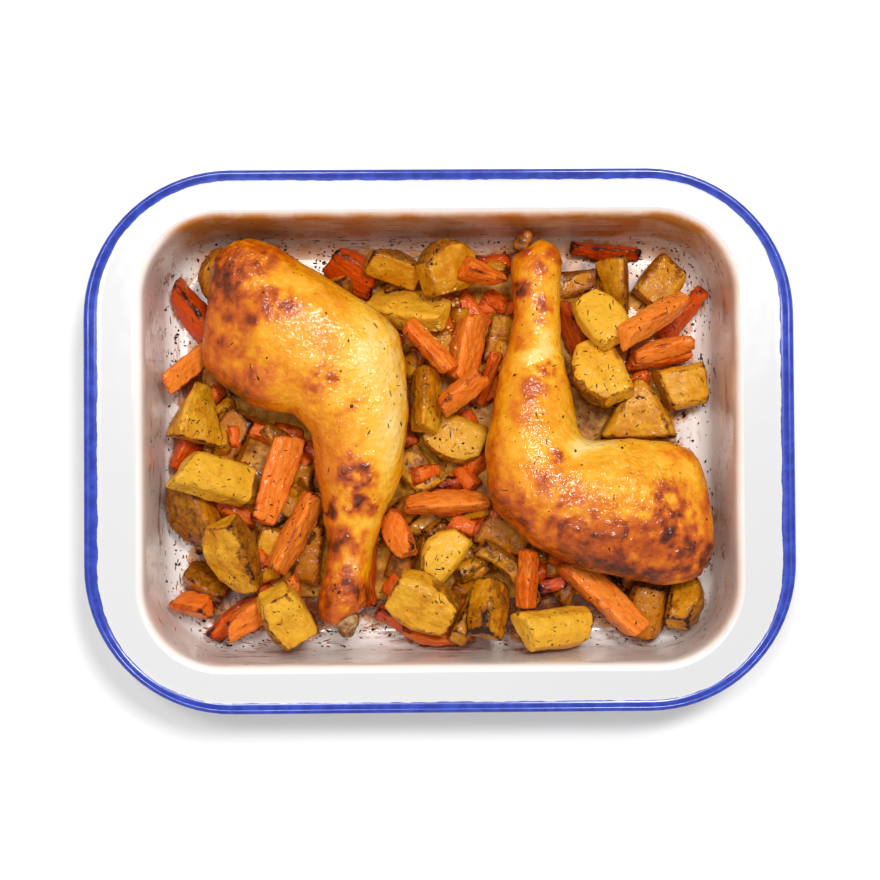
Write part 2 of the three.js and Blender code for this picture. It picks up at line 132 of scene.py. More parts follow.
def remeshed(obj, voxel, passes):
    """Gives the object an even mesh of small faces, with its edges rounded."""
    mod = obj.modifiers.new("even", "REMESH")
    mod.mode = "VOXEL"
    mod.voxel_size = voxel * MM
    graph = bpy.context.evaluated_depsgraph_get()
    fine = bpy.data.meshes.new_from_object(obj.evaluated_get(graph))
    obj.modifiers.clear()
    old = obj.data
    material = old.materials[0] if old.materials else None
    obj.data = fine
    obj.data.name = old.name + "_fine"
    bpy.data.meshes.remove(old)
    obj.data.materials.clear()
    if material:
        obj.data.materials.append(material)
    links = edges(obj)
    verts = coords(obj)
    for _ in range(passes):
        verts = verts + 0.6 * (neighbour_mean(verts, links) - verts)
    set_coords(obj, verts)
    obj.data.shade_smooth()
    return links


# ------------------------------------------------------------------- noise


def noise(points, size, seed=0):
    """Smooth noise from -1 to 1 with lumps of about the given size in mm."""
    q = np.asarray(points) / size + 17.3 * seed
    cell = np.floor(q).astype(np.int64)
    f = q - cell
    f = f * f * f * (f * (f * 6 - 15) + 10)
    total = np.zeros(len(q))
    for i in (0, 1):
        for j in (0, 1):
            for k in (0, 1):
                c = cell + (i, j, k)
                h = c[:, 0] * 374761393 + c[:, 1] * 668265263 + c[:, 2] * 2147483647
                h = (h + seed * 1274126177) & 0xFFFFFFFF
                h = ((h ^ (h >> 13)) * 1274126177) & 0xFFFFFFFF
                h = h ^ (h >> 16)
                w = (
                    (f[:, 0] if i else 1 - f[:, 0])
                    * (f[:, 1] if j else 1 - f[:, 1])
                    * (f[:, 2] if k else 1 - f[:, 2])
                )
                total += w * ((h & 0xFFFF) / 32767.5 - 1)
    return total


def fractal(points, size, seed=0, octaves=3):
    """Noise with finer noise added to it."""
    total = sum(noise(points, size / 2**n, seed + n) / 2**n for n in range(octaves))
    return total / 1.5


def smoothstep(low, high, value):
    t = np.clip((np.asarray(value) - low) / (high - low), 0, 1)
    return t * t * (3 - 2 * t)


# --------------------------------------------------------------- materials


def linear(rgb):
    """An sRGB colour given from 0 to 255, as Blender's linear one."""
    c = [v / 255 for v in rgb]
    return tuple(v / 12.92 if v <= 0.04045 else ((v + 0.055) / 1.055) ** 2.4 for v in c) + (1.0,)


class Shader:
    """Builds one material from short calls. Sizes of textures are in mm."""

    def __init__(self, name):
        self.material = bpy.data.materials.new(name)
        self.material.use_nodes = True
        self.tree = self.material.node_tree
        self.bsdf = self.tree.nodes["Principled BSDF"]
        self.place = self.node("ShaderNodeNewGeometry").outputs["Position"]

    def node(self, kind, **values):
        made = self.tree.nodes.new(kind)
        for key, value in values.items():
            setattr(made, key, value)
        return made

    def put(self, socket, value):
        if isinstance(value, bpy.types.NodeSocket):
            self.tree.links.new(value, socket)
        elif isinstance(value, tuple) and len(value) == 3 and socket.type == "RGBA":
            socket.default_value = linear(value)
        else:
            socket.default_value = value

    def set(self, **values):
        for key, value in values.items():
            self.put(self.bsdf.inputs[key.replace("_", " ")], value)

    def attr(self, name):
        return self.node("ShaderNodeAttribute", attribute_name=name).outputs["Fac"]

    def stretched(self, scale):
        made = self.node("ShaderNodeMapping")
        self.put(made.inputs["Vector"], self.place)
        made.inputs["Scale"].default_value = scale
        return made.outputs["Vector"]

    def noise(self, size, detail=3.0, rough=0.55, warp=0.0, vector=None):
        made = self.node("ShaderNodeTexNoise")
        self.put(made.inputs["Vector"], vector or self.place)
        made.inputs["Scale"].default_value = 1 / (size * MM)
        made.inputs["Detail"].default_value = detail
        made.inputs["Roughness"].default_value = rough
        made.inputs["Distortion"].default_value = warp
        return made.outputs["Fac"]

    def vector(self, name):
        return self.node("ShaderNodeAttribute", attribute_name=name).outputs["Vector"]

    def cells(self, size, feature="F1", vector=None):
        made = self.node("ShaderNodeTexVoronoi", feature=feature)
        self.put(made.inputs["Vector"], vector or self.place)
        made.inputs["Scale"].default_value = 1 / (size * MM)
        return made.outputs["Distance"]

    def range(self, value, low, high, to_low=0.0, to_high=1.0):
        made = self.node("ShaderNodeMapRange", interpolation_type="SMOOTHSTEP")
        self.put(made.inputs["Value"], value)
        for key, v in (
            ("From Min", low),
            ("From Max", high),
            ("To Min", to_low),
            ("To Max", to_high),
        ):
            self.put(made.inputs[key], v)
        return made.outputs["Result"]

    def math(self, operation, a, b=0.0, clamp=False):
        made = self.node("ShaderNodeMath", operation=operation, use_clamp=clamp)
        self.put(made.inputs[0], a)
        self.put(made.inputs[1], b)
        return made.outputs[0]

    def mix(self, fac, a, b, blend="MIX"):
        made = self.node("ShaderNodeMix", data_type="RGBA", blend_type=blend)
        self.put(made.inputs["Factor"], fac)
        self.put(made.inputs[6], a)
        self.put(made.inputs[7], b)
        return made.outputs[2]

    def ramp(self, value, *stops):
        made = self.node("ShaderNodeValToRGB")
        self.put(made.inputs[0], value)
        steps = made.color_ramp.elements
        for k, (place, colour) in enumerate(stops):
            step = steps[k] if k < 2 else steps.new(place)
            step.position = place
            step.color = linear(colour)
        return made.outputs[0]

    def bump(self, height, distance, strength=1.0):
        made = self.node("ShaderNodeBump")
        made.inputs["Strength"].default_value = strength
        made.inputs["Distance"].default_value = distance * MM
        self.put(made.inputs["Height"], height)
        return made.outputs["Normal"]


def enamel_material():
    s = Shader("enamel")
    rim = s.math("ADD", s.attr("out"), s.range(s.noise(9, 2), 0.3, 0.7, -0.35, 0.35))
    # A real baked-on brown layer with painted shade in it, heaviest on the walls turned from the light
    # (see build_dish).
    film_and_shade = s.attr("film_and_shade")
    cloud = s.noise(22, 4, 0.6, 0.4)
    smear = s.math("MULTIPLY", film_and_shade, s.range(cloud, 0.25, 0.75, 0.7, 1.25), clamp=True)
    # Painted light and shade on one enamel: it is made brighter inside the dish (255, 249, 243), against
    # the shade of its deep walls, and greyer on the flange and rim (221, 220, 220), which get the full
    # light.
    enamel_lit_and_shaded = s.mix(s.range(s.attr("out"), -1.5, 1.0), (255, 249, 243), (221, 220, 220))
    colour = s.mix(smear, enamel_lit_and_shaded, (200, 126, 54))
    across = s.noise(5, 4, 0.7, 0.2, s.stretched((0.16, 1, 1)))
    along = s.noise(5, 4, 0.7, 0.2, s.stretched((1, 0.16, 0.5)))
    ends = s.attr("ends")
    swept = s.math("ADD", s.math("MULTIPLY", along, ends),
                   s.math("MULTIPLY", across, s.math("SUBTRACT", 1.0, ends)))
    where = s.range(s.noise(30, 2, 0.5), 0.4, 0.58)
    streaks = s.math("MULTIPLY", s.range(swept, 0.52, 0.64), where)
    streaks = s.math("MULTIPLY", streaks, s.attr("baked"))
    colour = s.mix(s.math("MULTIPLY", streaks, 0.9), colour, (176, 98, 34))
    fine = s.math("ADD", s.math("MULTIPLY", s.noise(2.2, 3, 0.7, 0.3, s.stretched((1, 0.25, 0.4))), ends),
                  s.math("MULTIPLY", s.noise(2.2, 3, 0.7, 0.3, s.stretched((0.25, 1, 1))),
                         s.math("SUBTRACT", 1.0, ends)))
    dark = s.math("MULTIPLY", s.range(fine, 0.6, 0.66), s.range(s.noise(19, 3, 0.6), 0.5, 0.58))
    colour = s.mix(s.math("MULTIPLY", dark, s.attr("baked")), colour, (98, 54, 20))
    stain = s.math("ADD", s.attr("stain"), s.range(s.noise(6, 5, 0.7, 0.5), 0.3, 0.7, -0.3, 0.3))
    colour = s.mix(s.range(stain, 0.3, 0.75), colour, (206, 138, 78))
    colour = s.mix(s.range(stain, 0.75, 1.1), colour, (118, 56, 18))
    dots = s.range(s.cells(4.2), 0.24, 0.12)
    chosen = s.range(s.noise(9, 3, 0.6), 0.54, 0.62)
    specks = s.math("MULTIPLY", s.math("MULTIPLY", dots, chosen), s.attr("specks"))
    colour = s.mix(specks, colour, (84, 40, 16))
    blue = s.range(rim, 19.6, 19.9)
    thin = s.range(s.noise(6, 4), 0.35, 0.7)
    colour = s.mix(blue, colour, s.mix(thin, (34, 54, 162), (52, 76, 190)))
    gleam = s.range(s.attr("gleam"), 0, 1, 0.1, 0.6)
    s.set(Base_Color=colour, Coat_Weight=s.range(blue, 0, 1, 0.35, gleam))
    s.put(s.bsdf.inputs["Roughness"], s.range(smear, 0, 1, 0.2, 0.42))
    s.bsdf.inputs["Coat Roughness"].default_value = 0.08
    s.set(Normal=s.bump(s.noise(26, 2), 0.25))
    return s.material


def skin_material():
    s = Shader("roast_skin")
    fine = s.noise(3.2, 5, 0.65, 0.5)
    patch = s.noise(12, 4, 0.6, 0.4)
    # The roast attribute from build_leg holds real browning together with painted shade on skin turned
    # from the light and painted sheen in the paler patches.
    roast = s.math("ADD", s.attr("roast"), s.range(fine, 0.25, 0.75, -0.06, 0.06))
    roast = s.math("ADD", roast, s.range(patch, 0.3, 0.7, -0.05, 0.05))
    colour = s.ramp(
        roast,
        (0.0, (253, 216, 130)),
        (0.16, (250, 190, 56)),
        (0.32, (242, 158, 10)),
        (0.48, (222, 118, 5)),
        (0.64, (194, 84, 8)),
        (0.8, (136, 52, 8)),
        (0.96, (44, 16, 8)),
    )
    dots = s.range(s.cells(6.5), 0.14, 0.05)
    dots = s.math("MULTIPLY", dots, s.range(s.noise(12, 2), 0.52, 0.6))
    colour = s.mix(s.math("MULTIPLY", dots, 0.7), colour, (120, 54, 10))
    s.set(Base_Color=colour, Coat_Weight=0.8)
    s.bsdf.inputs["Coat Roughness"].default_value = 0.1
    s.set(Roughness=s.range(fine, 0.3, 0.7, 0.28, 0.46))
    amount = s.attr("crinkle")
    creases = s.math("MULTIPLY", s.noise(3.3, 1, 0.5, 0.9), amount)
    creases = s.math("ADD", creases, s.math("MULTIPLY", s.noise(1.8, 1, 0.5, 0.5), 0.22))
    s.set(Normal=s.bump(s.math("ADD", creases, s.math("MULTIPLY", fine, 0.5)), 0.9, 0.9))
    s.set(Coat_Normal=s.bump(creases, 1.3))
    s.bsdf.inputs["Specular IOR Level"].default_value = 0.1
    return s.material


def vegetable_material(name, light, deep, brown, black, skins, juice_and_shade_tint, grain, relief):
    s = Shader(name)
    local = s.vector("local")
    large = s.noise(9, 3, 0.55, 0.2)
    streak = s.noise(2.2, 4, 0.6, 0.3, local)
    small = s.noise(3.6, 4, 0.65, 0.4)
    tone = s.math("ADD", s.attr("tone"), s.range(streak, 0.3, 0.7, -0.22 * relief, 0.22 * relief))
    colour = s.mix(s.range(s.math("ADD", large, tone), 0.25, 0.85), deep, light)
    colour = s.mix(s.range(small, 0.54, 0.74, 0.0, 0.4), colour, brown)
    skin = s.math("ADD", s.attr("skin"), s.range(s.noise(6, 3), 0.3, 0.7, -0.12, 0.12))
    colour = s.mix(s.range(skin, 0.42, 0.5), colour, s.mix(s.range(small, 0.3, 0.7), *skins))
    char = s.math("ADD", s.attr("char"), s.range(streak, 0.3, 0.7, -0.2, 0.2))
    char = s.math("ADD", char, s.range(s.noise(4, 5, 0.7), 0.3, 0.7, -0.22, 0.22))
    colour = s.mix(s.range(char, 0.25, 0.55, 0.0, 0.85), colour, brown)
    colour = s.mix(s.range(char, 0.6, 0.95), colour, black)
    # Multiplies in the tint of the pan juice and of painted shade towards the bottom of the heap.
    colour = s.mix(s.attr("juice_and_shade"), colour, juice_and_shade_tint, "MULTIPLY")
    s.set(Base_Color=colour, Coat_Weight=0.38)
    s.bsdf.inputs["Coat Roughness"].default_value = 0.1
    s.bsdf.inputs["Specular IOR Level"].default_value = 0.1
    s.set(Roughness=s.range(large, 0.3, 0.7, 0.34, 0.55))
    height = s.math("ADD", s.math("MULTIPLY", s.noise(grain, 2), 0.4), streak)
    height = s.math("ADD", height, s.math("MULTIPLY", small, 0.7))
    s.set(Normal=s.bump(height, relief, 0.9))
    wrinkles = s.math("ADD", s.noise(3, 1, 0.5, 0.6), s.math("MULTIPLY", streak, 0.3))
    s.set(Coat_Normal=s.bump(wrinkles, 1.1))
    return s.material


def plain_material(name, light, dark, size, roughness, relief=0.12):
    s = Shader(name)
    mottle = s.noise(size, 4, 0.6)
    s.set(Base_Color=s.mix(s.range(mottle, 0.3, 0.7), light, dark), Coat_Weight=0.2)
    s.set(Roughness=s.range(mottle, 0.3, 0.7, roughness, roughness + 0.15))
    s.set(Normal=s.bump(mottle, size * relief))
    s.bsdf.inputs["Specular IOR Level"].default_value = 0.2
    return s.material


ENAMEL = enamel_material()
SKIN = skin_material()
POTATO = vegetable_material(
    "roast_potato", (238, 176, 44), (200, 124, 2), (158, 86, 6), (50, 24, 8),
    ((186, 120, 20), (112, 60, 12)), (226, 196, 76), 1.2, 0.5,
)
CARROT = vegetable_material(
    "roast_carrot", (250, 138, 44), (230, 96, 8), (176, 64, 6), (46, 18, 8),
    ((200, 84, 14), (150, 54, 8)), (236, 190, 140), 1.5, 0.9,
)
JUICE = plain_material("pan_juice", (232, 164, 56), (150, 84, 16), 6, 0.35)
CRUMB = plain_material("burnt_crumb", (110, 58, 18), (52, 26, 8), 2, 0.6)
GRISTLE = plain_material("gristle", (214, 176, 120), (120, 64, 26), 5, 0.45)
TENDON = plain_material("tendon", (190, 112, 40), (74, 34, 10), 4, 0.35)
MASH = plain_material("mash", (252, 220, 130), (232, 180, 70), 3, 0.5)
SMEAR = plain_material("baked_smear", (206, 130, 62), (150, 72, 24), 4, 0.45)
THYME = plain_material("thyme", (74, 58, 20), (38, 26, 10), 2, 0.6)
PEPPER = plain_material("pepper", (58, 36, 16), (26, 14, 8), 1, 0.6)

# ---------------------------------------------------------------- the dish

LENGTH, WIDTH, HEIGHT = 370, 283, 60
SHEET, BEAD, DRAFT = 1.6, 2.45, 4
MOUTH = (316 / 2, 240 / 2, 45)  # half length, half width and corner radius
RIM = (LENGTH / 2, WIDTH / 2, 77)
WALL_TOP = 51  # splashes and crumbs lie below this height
FLOOR_FILLET, LIP_FILLET = 11, 3.5
FLOOR_RINGS = np.linspace(0.985, 0.1, 60)  # shares of the floor's outline


def arc(radius, start, end, steps):
    angles = np.radians(np.linspace(start, end, steps + 1))
    return [(radius * math.cos(a), radius * math.sin(a)) for a in angles]


def dish_section():
    """(distance out from the flange's inside edge, height) round the dish's section."""
    rim = RIM[0] - MOUTH[0] - 2.5
    flange = HEIGHT - 2.5
    wall = -LIP_FILLET
    foot = wall - DRAFT
    outer = FLOOR_FILLET + SHEET
    section = [(foot + SHEET - outer + x, outer + z) for x, z in arc(outer, -90, -8, 10)]
    section += [(wall + SHEET, flange - SHEET - LIP_FILLET), (SHEET / 2, flange - SHEET)]
    section += [(rim + x, flange + z - 1) for x, z in arc(BEAD, 205, 500, 22)]
    section += [(t, flange) for t in np.linspace(20, 2, 7)]
    section += [(0, flange), (-1.6, flange - 0.5), (-2.9, flange - 1.7), (wall, flange - LIP_FILLET)]
    for t in np.linspace(0.1, 0.9, 12):
        z = flange - LIP_FILLET + (SHEET + FLOOR_FILLET - flange + LIP_FILLET) * t
        section.append((wall - DRAFT * (1 - z / flange), z))
    section += [
        (foot - FLOOR_FILLET + x, SHEET + FLOOR_FILLET + z)
        for x, z in arc(FLOOR_FILLET, -6, -90, 10)
    ]
    return section


def rounded_rectangle(out, per_corner=20, per_side=(26, 18)):
    """One ring of the dish, anticlockwise from the right wall."""
    share = max(out, 0) / (RIM[0] - MOUTH[0])
    half_x = MOUTH[0] + out
    half_y = MOUTH[1] + (share * (RIM[1] - MOUTH[1]) if out > 0 else out)
    radius = MOUTH[2] + (share * (RIM[2] - MOUTH[2]) if out > 0 else out)
    ring = []
    for corner in range(4):
        sx = 1 if corner in (0, 3) else -1
        sy = 1 if corner < 2 else -1
        for step in range(per_corner):
            a = math.pi / 2 * (corner + step / (per_corner - 1))
            ring.append(
                (
                    sx * (half_x - radius) + radius * math.cos(a),
                    sy * (half_y - radius) + radius * math.sin(a),
                )
            )
        ax, ay = ring[-1]
        nsx, nsy = ((-1, 1), (-1, -1), (1, -1), (1, 1))[corner]
        b = math.pi / 2 * (corner + 1)
        bx = nsx * (half_x - radius) + radius * math.cos(b)
        by = nsy * (half_y - radius) + radius * math.sin(b)
        count = per_side[corner % 2]
        for step in range(1, count):
            t = step / count
            ring.append((ax + (bx - ax) * t, ay + (by - ay) * t))
    return np.array(ring)


def build_dish():
    section = dish_section()
    rings = []
    for out, z in section:
        flat = rounded_rectangle(out)
        rings.append(np.column_stack([flat, np.full(len(flat), z)]))
    n = len(rings[0])
    inner = rings[-1]
    rings += [np.column_stack([inner[:, :2] * k, inner[:, 2]]) for k in FLOOR_RINGS]
    outs = [o for o, _ in section] + [-30] * len(FLOOR_RINGS)
    verts = np.concatenate(rings + [[[0, 0, 0.0]], [[0, 0, SHEET]]])
    faces = []
    for k in range(len(rings) - 1):
        for i in range(n):
            j = (i + 1) % n
            faces.append((k * n + i, k * n + j, (k + 1) * n + j, (k + 1) * n + i))
    bottom, top = len(rings) * n, len(rings) * n + 1
    last = (len(rings) - 1) * n
    for i in range(n):
        j = (i + 1) % n
        faces.append((j, i, bottom))
        faces.append((last + i, last + j, top))
    dish = mesh_object("enamel_dish", verts, faces, ENAMEL)
    out = np.concatenate([np.full(n, o) for o in outs] + [[-30, -30]])
    attribute(dish, "out", out)
    p = coords(dish)
    inside = (normals(dish)[:, 2] > -0.05) & (out < 0.5)
    wall = inside * smoothstep(1, -3, out) * smoothstep(3, 14, p[:, 2])
    ax = np.abs(p[:, 0]) / MOUTH[0]
    ay = np.abs(p[:, 1]) / MOUTH[1]
    side = smoothstep(-0.12, 0.12, ax - ay)
    # Painted shade, mixed with a real baked-on brown layer: the layer is heaviest on the far wall (1
    # against 0.06 on the near wall) and on the right end (0.48 against 0.14 on the left), the walls
    # turned from the light. It grows towards the far side, and on the floor it grows by the far wall, in
    # that wall's shade.
    far = np.where(p[:, 1] > 0, 1.0, 0.06)
    ends = np.where(p[:, 0] > 0, 0.48, 0.14)
    edge = 0.92 + 0.2 * fractal(p, 40, 3)
    far_film_and_shade = smoothstep(-90, 110, p[:, 1])
    share = side * ends * (0.75 + 0.5 * far_film_and_shade) + (1 - side) * far
    floor = inside * smoothstep(14, 3, p[:, 2]) * (0.35 + 0.45 * smoothstep(60, 110, p[:, 1]))
    attribute(dish, "film_and_shade", np.clip(np.maximum(wall, floor) * share * edge, 0, 1))
    attribute(dish, "ends", side)
    attribute(dish, "gleam", smoothstep(129, 137, p[:, 1]))
    attribute(dish, "baked", inside * smoothstep(57, 30, p[:, 2]))
    attribute(dish, "specks", inside * smoothstep(57, 20, p[:, 2]))
    return dish


# ----------------------------------------------------------- the vegetables

# How light or dark a piece is (-1 to 1), how charred (0 to 1), and for a potato the way its
# skin faces and how much of it shows.
LOOKS = {
    "potato_01": (0.0, 0.6, None),
    "potato_02": (0.25, 0.35, (-0.7, -0.7, -0.2, 0.8)),
    "potato_03": (0.15, 0.6, None),
    "potato_04": (-0.1, 0.5, (-0.6, 0.8, 0.1, 0.9)),
    "potato_05": (-0.15, 1.0, (-1.0, 0.1, 0.1, 0.9)),
    "potato_06": (-0.2, 0.8, (0.0, 0.8, 0.2, 0.9)),
    "potato_07": (0.05, 0.6, None),
    "potato_08": (0.3, 0.35, None),
    "potato_09": (0.0, 0.85, (0.9, 0.5, 0.0, 0.8)),
    "potato_10": (0.2, 0.5, (-0.3, -1.0, -0.1, 0.7)),
    "potato_11": (0.3, 0.3, None),
    "potato_12": (-0.1, 0.5, (0.7, 0.8, 0.1, 0.9)),
    "potato_13": (-0.1, 0.6, (0.0, 1.0, 0.1, 0.8)),
    "potato_14": (0.25, 0.3, (-0.6, -0.9, 0.0, 0.8)),
    "potato_15": (0.0, 0.5, None),
    "potato_16": (0.45, 0.3, None),
    "potato_17": (0.1, 0.65, (0.8, 0.2, -0.2, 0.7)),
    "potato_18": (-0.05, 0.8, None),
    "potato_19": (-0.15, 1.05, (0.3, 1.0, 0.0, 0.8)),
    "potato_20": (-0.1, 0.7, (0.7, 0.7, 0.2, 1.1)),
    "potato_21": (0.35, 0.25, None),
    "potato_22": (-0.25, 1.0, None),
    "potato_23": (-0.1, 0.85, (1.0, -0.3, 0.0, 0.8)),
    "potato_24": (0.0, 0.6, (0.8, 0.3, 0.0, 0.7)),
    "potato_25": (0.1, 0.6, (0.3, 1.0, 0.1, 0.8)),
    "potato_26": (0.5, 0.25, None),
    "carrot_01": (-0.1, 0.6, None),
    "carrot_02": (-0.4, 0.95, None),
    "carrot_03": (0.25, 0.4, None),
    "carrot_04": (-0.2, 0.6, None),
    "carrot_05": (0.1, 0.8, None),
    "carrot_06": (-0.1, 0.95, None),
    "carrot_07": (0.25, 0.7, None),
    "carrot_08": (0.2, 0.45, None),
    "carrot_09": (0.35, 0.5, None),
    "carrot_10": (-0.4, 0.7, None),
    "carrot_11": (0.0, 0.65, None),
    "carrot_12": (0.35, 0.35, None),
    "carrot_13": (0.05, 0.5, None),
    "carrot_14": (0.0, 0.5, None),
    "carrot_15": (0.2, 0.45, None),
    "carrot_16": (0.25, 0.45, None),
    "carrot_17": (0.2, 0.75, None),
    "carrot_18": (0.0, 0.6, None),
    "carrot_19": (0.0, 0.6, None),
    "carrot_20": (0.1, 0.6, None),
    "carrot_21": (0.0, 0.6, None),
    "carrot_22": (0.25, 0.55, None),
    "carrot_23": (-0.5, 0.9, None),
    "carrot_24": (-0.1, 0.9, None),
    "carrot_25": (0.1, 0.5, None),
    "carrot_26": (0.2, 0.4, None),
    "carrot_27": (0.35, 0.4, None),
}


def roast(obj, links, kind, seed, tone, char, skin):
    """Gives a cut vegetable its wrinkled surface and the attributes of its colours."""
    verts = coords(obj)
    n = normals(obj)
    blurred = verts
    for _ in range(4):
        blurred = neighbour_mean(blurred, links)
    edge = np.clip(((verts - blurred) * n).sum(1) / 0.26, -1, 1.5)
    bumps = 0.6 * noise(verts, 11, seed) + 0.42 * noise(verts, 4.5, seed + 5)
    bumps += 0.16 * noise(verts, 2.0, seed + 9)
    if kind == "carrot":
        bumps += 0.2 * (1 - 2 * np.abs(noise(verts * (1, 1, 2), 3.6, seed + 3)))
    set_coords(obj, verts + n * bumps[:, None])
    blotch = fractal(verts, 14, seed + 21)
    edge_char = 0.62 if kind == "carrot" else 0.78
    burnt = edge_char * np.maximum(edge, 0) + 0.6 * blotch + (char - 0.84)
    attribute(obj, "char", np.clip(burnt, 0, 1))
    attribute(obj, "tone", np.full(len(verts), tone))
    middle = verts - verts.mean(0)
    axes = np.linalg.svd(middle[:: max(1, len(middle) // 400)], full_matrices=False)[2]
    local = middle @ axes.T * (0.2 if kind == "carrot" else 0.6, 1, 1) + verts.mean(0)
    made = obj.data.attributes.new("local", "FLOAT_VECTOR", "POINT")
    made.data.foreach_set("vector", (local * MM).ravel())
    # Darker towards the bottom of the heap, below 32 mm: partly the pan juice, partly painted shade of
    # the lower layer between the pieces.
    attribute(obj, "juice_and_shade", smoothstep(32, 8, verts[:, 2]))
    if skin:
        direction = np.array(skin[:3], float)
        direction /= np.linalg.norm(direction)
        facing = (n @ direction) - (1 - skin[3]) + 0.3
        attribute(obj, "skin", np.clip(facing, 0, 1))
    else:
        attribute(obj, "skin", np.zeros(len(verts)))


VEGETABLE_VOXEL, QUICK_VOXEL = 0.9, 1.3


def build_vegetable(node, number):
    kind = node.split("_")[0]
    verts, faces = node_arrays(node)
    obj = mesh_object("roast_" + node, verts, faces, POTATO if kind == "potato" else CARROT)
    voxel, passes = ((VEGETABLE_VOXEL, 3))
    links = remeshed(obj, voxel, passes)
    tone, char, skin = LOOKS[node]
    roast(obj, links, kind, number, tone, char, skin)
    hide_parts(node)
    return obj


# The heap's lower pieces: kind, x, y, turn, length, width, height, lightness and char. The lightness is
# partly each piece's own tone and partly painted shade: pieces lying in shade are given a lower
# lightness.
LOW_PIECES = [
    ("potato", -114, 1, 60, 28, 18, 14, -0.4, 0.6),
    ("carrot", -99, 5, -18, 21, 11, 12, 0.1, 0.5),
    ("carrot", -82, 3, -10, 16, 10, 10, -0.2, 0.5),
    ("potato", -80, -27, 75, 30, 17, 13, -0.2, 0.5),
    ("potato", -93, -43, 30, 17, 12, 12, -0.3, 0.6),
    ("potato", -92, -60, 78, 24, 17, 14, 0.3, 0.4),
    ("carrot", -111, -39, -32, 25, 11, 12, 0.1, 0.5),
    ("potato", -71, -62, 80, 30, 14, 13, -0.4, 0.6),
    ("potato", -126, -53, 20, 17, 13, 10, -0.4, 0.7),
    ("carrot", 31, 95, 10, 17, 12, 11, -0.4, 0.7),
    ("carrot", 32, 72, -8, 19, 10, 10, 0.0, 0.5),
    ("potato", 33, 55, 78, 25, 14, 12, -0.2, 0.4),
    ("carrot", 19, 68, -48, 22, 12, 11, 0.0, 0.5),
    ("potato", 3, 52, -75, 30, 13, 13, 0.1, 0.4),
    ("potato", -13, 40, 70, 18, 11, 10, -0.4, 0.5),
    ("potato", -12, -18, -52, 24, 17, 13, 0.1, 0.4),
    ("carrot", 2, -25, 8, 27, 9, 9, -0.4, 0.8),
    ("carrot", 26, -46, 45, 20, 11, 12, -0.2, 0.6),
    ("potato", -15, -37, 40, 20, 13, 10, -0.5, 0.5),
    ("carrot", 13, -48, -20, 16, 12, 12, 0.1, 0.5),
    ("potato", 35, -53, -20, 26, 18, 12, -0.3, 0.5),
    ("potato", -20, -64, 75, 26, 15, 10, -0.4, 0.5),
    ("potato", 17, -68, -40, 19, 13, 12, 0.0, 0.4),
    ("carrot", 61, -81, 10, 16, 12, 11, -0.4, 0.8),
    ("potato", 90, -80, -35, 22, 14, 10, -0.5, 0.8),
    ("potato", 75, 84, 6, 22, 14, 12, -0.2, 0.5),
    ("potato", 97, 40, 70, 20, 12, 11, -0.5, 0.5),
]
HEAP_SHIFT = 2  # the heap stands this far along Y from the dish's middle
LOW_LENGTHEN, LOW_WIDEN = 1.08, 1.1  # the low pieces' true size over the size in the list
LOW_LIGHTEN, LOW_LESS_CHAR = 0.15, 0.12
LOW_VOXEL, CORE_VOXEL = 1.4, 2.2
CORE_SHARE = 0.85  # the core's height over the CAD heap's
FILLERS = 110  # random pieces that are tried between the drawn ones
FILLER_HEIGHT, FILLER_TONE, FILLER_CHAR = 11, 0.1, 0.3


def chunk(length, width, height, kind, turn, tilt, seed):
    """Vertices and faces of a cut piece about its own middle, with a rounded far side."""
    bm = bmesh.new()
    bmesh.ops.create_cube(bm, size=1)
    bmesh.ops.subdivide_edges(bm, edges=bm.edges, cuts=2, use_grid_fill=True)
    draw = np.random.default_rng(seed)
    skew, taper, crown = draw.uniform(-0.25, 0.25), draw.uniform(0.0, 0.3), draw.uniform(0.1, 0.5)
    if kind == "carrot":
        crown = 0.7
    turned = Matrix.Rotation(math.radians(turn), 3, "Z") @ Matrix.Rotation(
        math.radians(tilt[0]), 3, "X"
    ) @ Matrix.Rotation(math.radians(tilt[1]), 3, "Y")
    for v in bm.verts:
        x, y, z = v.co
        y *= 1 - taper * x - crown * 0.35 * (0.5 + z)
        z *= 1 - 0.5 * crown * y * y * 4 * (z > 0)
        v.co = turned @ Vector((length * (x + skew * y * 0.5), width * y, height * z))
    verts = np.array([v.co[:] for v in bm.verts])
    faces = [[v.index for v in f.verts] for f in bm.faces]
    bm.free()
    return verts, faces


